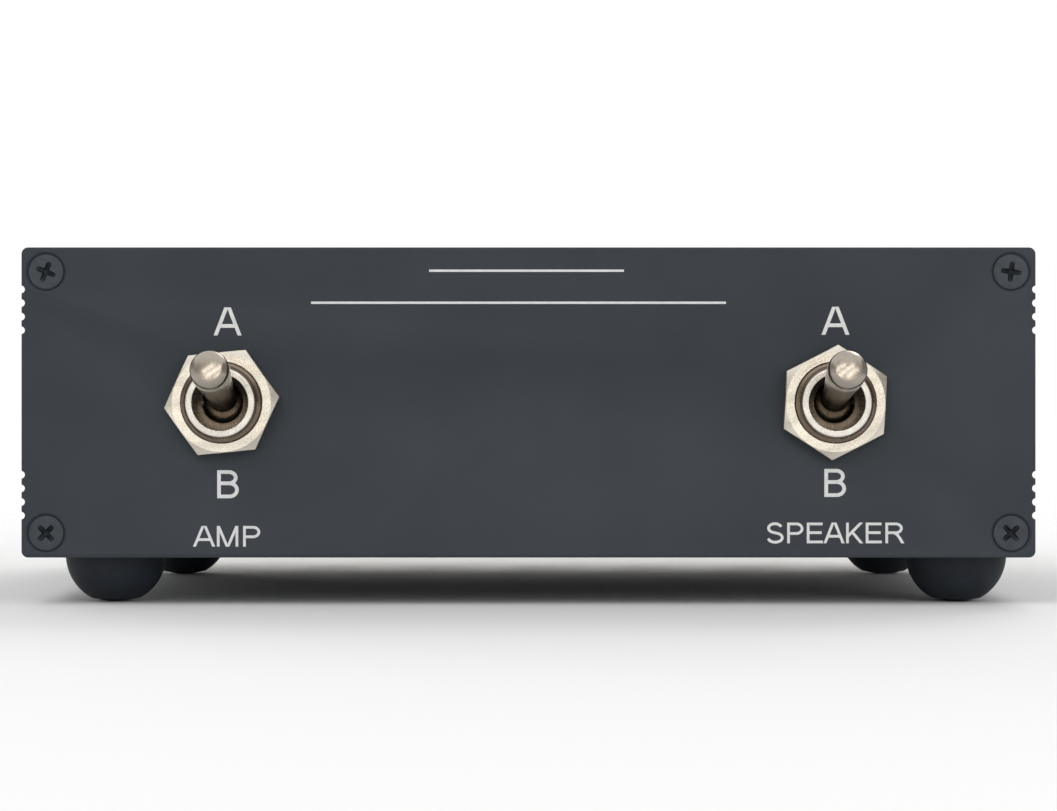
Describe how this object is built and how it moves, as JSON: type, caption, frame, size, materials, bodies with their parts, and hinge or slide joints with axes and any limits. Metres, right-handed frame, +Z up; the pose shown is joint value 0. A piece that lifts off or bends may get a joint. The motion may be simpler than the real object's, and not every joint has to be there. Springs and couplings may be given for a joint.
{
  "type": "speaker selector switch",
  "caption": "Low rectangular metal box that routes stereo amplifiers to loudspeakers, with bat-lever toggle switches in front and screw-cap binding posts behind.",
  "frame": {"origin": "on the resting surface under the feet, below the middle of the whole object's outline", "axes": "+Z up, +X to the right seen from the switches, -Y out of the front panel and +Y out of the rear panel along the binding posts"},
  "size_m": [0.152, 0.1479, 0.0537],
  "materials": {
    "case": "dark blue-grey anodised aluminium, satin",
    "screws": "black oxide",
    "rubber": "black, slightly shiny",
    "smoky_plastic": "smoky",
    "clear_plastic": "clear polycarbonate",
    "black_plastic": "black nylon",
    "gold_metal": "gold-plated, finely turned",
    "tinned_metal": "tinned",
    "nickel": "nickel-plated brass, bright",
    "steel": "drawn wire",
    "contact_metal": "silver-plated",
    "switch_moulding": "black phenolic",
    "actuator_plastic": "natural nylon"
  },
  "bodies": {
    "case": {"front_panel": "case", "rear_panel": "case", "upper_shell": "case", "lower_shell": "case", "front_panel_screws": "screws", "rear_panel_screws": "screws", "rubber_feet": "rubber", "post_outer_insulators": "smoky_plastic", "post_studs": "gold_metal", "post_inner_insulators": "black_plastic", "post_nuts": "gold_metal", "post_solder_lugs": "tinned_metal", "switch_front_nuts": "nickel", "switch_back_nuts": "nickel", "switch_lock_washers": "nickel", "switch_terminals": "tinned_metal", "switch_pivot_pins": "steel", "amp_switch_frame": "nickel", "amp_switch_base": "switch_moulding", "speaker_switch_frame": "nickel", "speaker_switch_base": "switch_moulding"},
    "amp_lever": {"amp_switch_lever": "nickel", "amp_switch_actuator": "actuator_plastic"},
    "amp_contacts": {"amp_switch_rockers": "contact_metal"},
    "speaker_lever": {"speaker_switch_lever": "nickel", "speaker_switch_actuator": "actuator_plastic"},
    "speaker_contacts": {"speaker_switch_rockers": "contact_metal"},
    "amp_a_left_minus_cap_core": {"amp_a_left_minus_core": "gold_metal"},
    "amp_a_left_minus_cap_grip": {"amp_a_left_minus_grip": "clear_plastic"},
    "amp_a_left_plus_cap_core": {"amp_a_left_plus_core": "gold_metal"},
    "amp_a_left_plus_cap_grip": {"amp_a_left_plus_grip": "clear_plastic"},
    "amp_a_right_minus_cap_core": {"amp_a_right_minus_core": "gold_metal"},
    "amp_a_right_minus_cap_grip": {"amp_a_right_minus_grip": "clear_plastic"},
    "amp_a_right_plus_cap_core": {"amp_a_right_plus_core": "gold_metal"},
    "amp_a_right_plus_cap_grip": {"amp_a_right_plus_grip": "clear_plastic"},
    "amp_b_left_minus_cap_core": {"amp_b_left_minus_core": "gold_metal"},
    "amp_b_left_minus_cap_grip": {"amp_b_left_minus_grip": "clear_plastic"},
    "amp_b_left_plus_cap_core": {"amp_b_left_plus_core": "gold_metal"},
    "amp_b_left_plus_cap_grip": {"amp_b_left_plus_grip": "clear_plastic"},
    "amp_b_right_minus_cap_core": {"amp_b_right_minus_core": "gold_metal"},
    "amp_b_right_minus_cap_grip": {"amp_b_right_minus_grip": "clear_plastic"},
    "amp_b_right_plus_cap_core": {"amp_b_right_plus_core": "gold_metal"},
    "amp_b_right_plus_cap_grip": {"amp_b_right_plus_grip": "clear_plastic"},
    "speaker_a_left_minus_cap_core": {"speaker_a_left_minus_core": "gold_metal"},
    "speaker_a_left_minus_cap_grip": {"speaker_a_left_minus_grip": "clear_plastic"},
    "speaker_a_left_plus_cap_core": {"speaker_a_left_plus_core": "gold_metal"},
    "speaker_a_left_plus_cap_grip": {"speaker_a_left_plus_grip": "clear_plastic"},
    "speaker_a_right_minus_cap_core": {"speaker_a_right_minus_core": "gold_metal"},
    "speaker_a_right_minus_cap_grip": {"speaker_a_right_minus_grip": "clear_plastic"},
    "speaker_a_right_plus_cap_core": {"speaker_a_right_plus_core": "gold_metal"},
    "speaker_a_right_plus_cap_grip": {"speaker_a_right_plus_grip": "clear_plastic"},
    "speaker_b_left_minus_cap_core": {"speaker_b_left_minus_core": "gold_metal"},
    "speaker_b_left_minus_cap_grip": {"speaker_b_left_minus_grip": "clear_plastic"},
    "speaker_b_left_plus_cap_core": {"speaker_b_left_plus_core": "gold_metal"},
    "speaker_b_left_plus_cap_grip": {"speaker_b_left_plus_grip": "clear_plastic"},
    "speaker_b_right_minus_cap_core": {"speaker_b_right_minus_core": "gold_metal"},
    "speaker_b_right_minus_cap_grip": {"speaker_b_right_minus_grip": "clear_plastic"},
    "speaker_b_right_plus_cap_core": {"speaker_b_right_plus_core": "gold_metal"},
    "speaker_b_right_plus_cap_grip": {"speaker_b_right_plus_grip": "clear_plastic"}
  },
  "joints": [
    {"name": "amp_lever_swing", "type": "hinge", "parent": "case", "child": "amp_lever", "pos_m": [-0.0458, -0.0501, 0.03045], "axis": [1, 0, 0], "range_deg": [0, 24]},
    {"name": "amp_contact_tip", "type": "hinge", "parent": "case", "child": "amp_contacts", "pos_m": [-0.0458, -0.0378, 0.03045], "axis": [1, 0, 0], "range_deg": [-12, 0]},
    {"name": "speaker_lever_swing", "type": "hinge", "parent": "case", "child": "speaker_lever", "pos_m": [0.0458, -0.0501, 0.03045], "axis": [1, 0, 0], "range_deg": [0, 24]},
    {"name": "speaker_contact_tip", "type": "hinge", "parent": "case", "child": "speaker_contacts", "pos_m": [0.0458, -0.0378, 0.03045], "axis": [1, 0, 0], "range_deg": [-12, 0]},
    {"name": "amp_a_left_minus_cap_rise", "type": "slide", "parent": "case", "child": "amp_a_left_minus_cap_core", "axis": [0, 1, 0], "range_m": [0, 0.0035]},
    {"name": "amp_a_left_minus_cap_turn", "type": "hinge", "parent": "amp_a_left_minus_cap_core", "child": "amp_a_left_minus_cap_grip", "pos_m": [-0.06667, 0.0624, 0.01865], "axis": [0, 1, 0], "range_deg": [0, 1800]},
    {"name": "amp_a_left_plus_cap_rise", "type": "slide", "parent": "case", "child": "amp_a_left_plus_cap_core", "axis": [0, 1, 0], "range_m": [0, 0.0035]},
    {"name": "amp_a_left_plus_cap_turn", "type": "hinge", "parent": "amp_a_left_plus_cap_core", "child": "amp_a_left_plus_cap_grip", "pos_m": [-0.06667, 0.0624, 0.04105], "axis": [0, 1, 0], "range_deg": [0, 1800]},
    {"name": "amp_a_right_minus_cap_rise", "type": "slide", "parent": "case", "child": "amp_a_right_minus_cap_core", "axis": [0, 1, 0], "range_m": [0, 0.0035]},
    {"name": "amp_a_right_minus_cap_turn", "type": "hinge", "parent": "amp_a_right_minus_cap_core", "child": "amp_a_right_minus_cap_grip", "pos_m": [-0.04763, 0.0624, 0.01865], "axis": [0, 1, 0], "range_deg": [0, 1800]},
    {"name": "amp_a_right_plus_cap_rise", "type": "slide", "parent": "case", "child": "amp_a_right_plus_cap_core", "axis": [0, 1, 0], "range_m": [0, 0.0035]},
    {"name": "amp_a_right_plus_cap_turn", "type": "hinge", "parent": "amp_a_right_plus_cap_core", "child": "amp_a_right_plus_cap_grip", "pos_m": [-0.04763, 0.0624, 0.04105], "axis": [0, 1, 0], "range_deg": [0, 1800]},
    {"name": "amp_b_left_minus_cap_rise", "type": "slide", "parent": "case", "child": "amp_b_left_minus_cap_core", "axis": [0, 1, 0], "range_m": [0, 0.0035]},
    {"name": "amp_b_left_minus_cap_turn", "type": "hinge", "parent": "amp_b_left_minus_cap_core", "child": "amp_b_left_minus_cap_grip", "pos_m": [-0.02857, 0.0624, 0.01865], "axis": [0, 1, 0], "range_deg": [0, 1800]},
    {"name": "amp_b_left_plus_cap_rise", "type": "slide", "parent": "case", "child": "amp_b_left_plus_cap_core", "axis": [0, 1, 0], "range_m": [0, 0.0035]},
    {"name": "amp_b_left_plus_cap_turn", "type": "hinge", "parent": "amp_b_left_plus_cap_core", "child": "amp_b_left_plus_cap_grip", "pos_m": [-0.02857, 0.0624, 0.04105], "axis": [0, 1, 0], "range_deg": [0, 1800]},
    {"name": "amp_b_right_minus_cap_rise", "type": "slide", "parent": "case", "child": "amp_b_right_minus_cap_core", "axis": [0, 1, 0], "range_m": [0, 0.0035]},
    {"name": "amp_b_right_minus_cap_turn", "type": "hinge", "parent": "amp_b_right_minus_cap_core", "child": "amp_b_right_minus_cap_grip", "pos_m": [-0.00953, 0.0624, 0.01865], "axis": [0, 1, 0], "range_deg": [0, 1800]},
    {"name": "amp_b_right_plus_cap_rise", "type": "slide", "parent": "case", "child": "amp_b_right_plus_cap_core", "axis": [0, 1, 0], "range_m": [0, 0.0035]},
    {"name": "amp_b_right_plus_cap_turn", "type": "hinge", "parent": "amp_b_right_plus_cap_core", "child": "amp_b_right_plus_cap_grip", "pos_m": [-0.00953, 0.0624, 0.04105], "axis": [0, 1, 0], "range_deg": [0, 1800]},
    {"name": "speaker_a_left_minus_cap_rise", "type": "slide", "parent": "case", "child": "speaker_a_left_minus_cap_core", "axis": [0, 1, 0], "range_m": [0, 0.0035]},
    {"name": "speaker_a_left_minus_cap_turn", "type": "hinge", "parent": "speaker_a_left_minus_cap_core", "child": "speaker_a_left_minus_cap_grip", "pos_m": [0.00953, 0.0624, 0.01865], "axis": [0, 1, 0], "range_deg": [0, 1800]},
    {"name": "speaker_a_left_plus_cap_rise", "type": "slide", "parent": "case", "child": "speaker_a_left_plus_cap_core", "axis": [0, 1, 0], "range_m": [0, 0.0035]},
    {"name": "speaker_a_left_plus_cap_turn", "type": "hinge", "parent": "speaker_a_left_plus_cap_core", "child": "speaker_a_left_plus_cap_grip", "pos_m": [0.00953, 0.0624, 0.04105], "axis": [0, 1, 0], "range_deg": [0, 1800]},
    {"name": "speaker_a_right_minus_cap_rise", "type": "slide", "parent": "case", "child": "speaker_a_right_minus_cap_core", "axis": [0, 1, 0], "range_m": [0, 0.0035]},
    {"name": "speaker_a_right_minus_cap_turn", "type": "hinge", "parent": "speaker_a_right_minus_cap_core", "child": "speaker_a_right_minus_cap_grip", "pos_m": [0.02857, 0.0624, 0.01865], "axis": [0, 1, 0], "range_deg": [0, 1800]},
    {"name": "speaker_a_right_plus_cap_rise", "type": "slide", "parent": "case", "child": "speaker_a_right_plus_cap_core", "axis": [0, 1, 0], "range_m": [0, 0.0035]},
    {"name": "speaker_a_right_plus_cap_turn", "type": "hinge", "parent": "speaker_a_right_plus_cap_core", "child": "speaker_a_right_plus_cap_grip", "pos_m": [0.02857, 0.0624, 0.04105], "axis": [0, 1, 0], "range_deg": [0, 1800]},
    {"name": "speaker_b_left_minus_cap_rise", "type": "slide", "parent": "case", "child": "speaker_b_left_minus_cap_core", "axis": [0, 1, 0], "range_m": [0, 0.0035]},
    {"name": "speaker_b_left_minus_cap_turn", "type": "hinge", "parent": "speaker_b_left_minus_cap_core", "child": "speaker_b_left_minus_cap_grip", "pos_m": [0.04763, 0.0624, 0.01865], "axis": [0, 1, 0], "range_deg": [0, 1800]},
    {"name": "speaker_b_left_plus_cap_rise", "type": "slide", "parent": "case", "child": "speaker_b_left_plus_cap_core", "axis": [0, 1, 0], "range_m": [0, 0.0035]},
    {"name": "speaker_b_left_plus_cap_turn", "type": "hinge", "parent": "speaker_b_left_plus_cap_core", "child": "speaker_b_left_plus_cap_grip", "pos_m": [0.04763, 0.0624, 0.04105], "axis": [0, 1, 0], "range_deg": [0, 1800]},
    {"name": "speaker_b_right_minus_cap_rise", "type": "slide", "parent": "case", "child": "speaker_b_right_minus_cap_core", "axis": [0, 1, 0], "range_m": [0, 0.0035]},
    {"name": "speaker_b_right_minus_cap_turn", "type": "hinge", "parent": "speaker_b_right_minus_cap_core", "child": "speaker_b_right_minus_cap_grip", "pos_m": [0.06667, 0.0624, 0.01865], "axis": [0, 1, 0], "range_deg": [0, 1800]},
    {"name": "speaker_b_right_plus_cap_rise", "type": "slide", "parent": "case", "child": "speaker_b_right_plus_cap_core", "axis": [0, 1, 0], "range_m": [0, 0.0035]},
    {"name": "speaker_b_right_plus_cap_turn", "type": "hinge", "parent": "speaker_b_right_plus_cap_core", "child": "speaker_b_right_plus_cap_grip", "pos_m": [0.06667, 0.0624, 0.04105], "axis": [0, 1, 0], "range_deg": [0, 1800]}
  ],
  "couplings": [
    {"joint": "amp_contact_tip", "follows": "amp_lever_swing", "ratio": -0.5},
    {"joint": "speaker_contact_tip", "follows": "speaker_lever_swing", "ratio": -0.5},
    {"joint": "amp_a_left_minus_cap_turn", "follows": "amp_a_left_minus_cap_rise", "rad_per_m": 8975.9},
    {"joint": "amp_a_left_plus_cap_turn", "follows": "amp_a_left_plus_cap_rise", "rad_per_m": 8975.9},
    {"joint": "amp_a_right_minus_cap_turn", "follows": "amp_a_right_minus_cap_rise", "rad_per_m": 8975.9},
    {"joint": "amp_a_right_plus_cap_turn", "follows": "amp_a_right_plus_cap_rise", "rad_per_m": 8975.9},
    {"joint": "amp_b_left_minus_cap_turn", "follows": "amp_b_left_minus_cap_rise", "rad_per_m": 8975.9},
    {"joint": "amp_b_left_plus_cap_turn", "follows": "amp_b_left_plus_cap_rise", "rad_per_m": 8975.9},
    {"joint": "amp_b_right_minus_cap_turn", "follows": "amp_b_right_minus_cap_rise", "rad_per_m": 8975.9},
    {"joint": "amp_b_right_plus_cap_turn", "follows": "amp_b_right_plus_cap_rise", "rad_per_m": 8975.9},
    {"joint": "speaker_a_left_minus_cap_turn", "follows": "speaker_a_left_minus_cap_rise", "rad_per_m": 8975.9},
    {"joint": "speaker_a_left_plus_cap_turn", "follows": "speaker_a_left_plus_cap_rise", "rad_per_m": 8975.9},
    {"joint": "speaker_a_right_minus_cap_turn", "follows": "speaker_a_right_minus_cap_rise", "rad_per_m": 8975.9},
    {"joint": "speaker_a_right_plus_cap_turn", "follows": "speaker_a_right_plus_cap_rise", "rad_per_m": 8975.9},
    {"joint": "speaker_b_left_minus_cap_turn", "follows": "speaker_b_left_minus_cap_rise", "rad_per_m": 8975.9},
    {"joint": "speaker_b_left_plus_cap_turn", "follows": "speaker_b_left_plus_cap_rise", "rad_per_m": 8975.9},
    {"joint": "speaker_b_right_minus_cap_turn", "follows": "speaker_b_right_minus_cap_rise", "rad_per_m": 8975.9},
    {"joint": "speaker_b_right_plus_cap_turn", "follows": "speaker_b_right_plus_cap_rise", "rad_per_m": 8975.9}
  ]
}
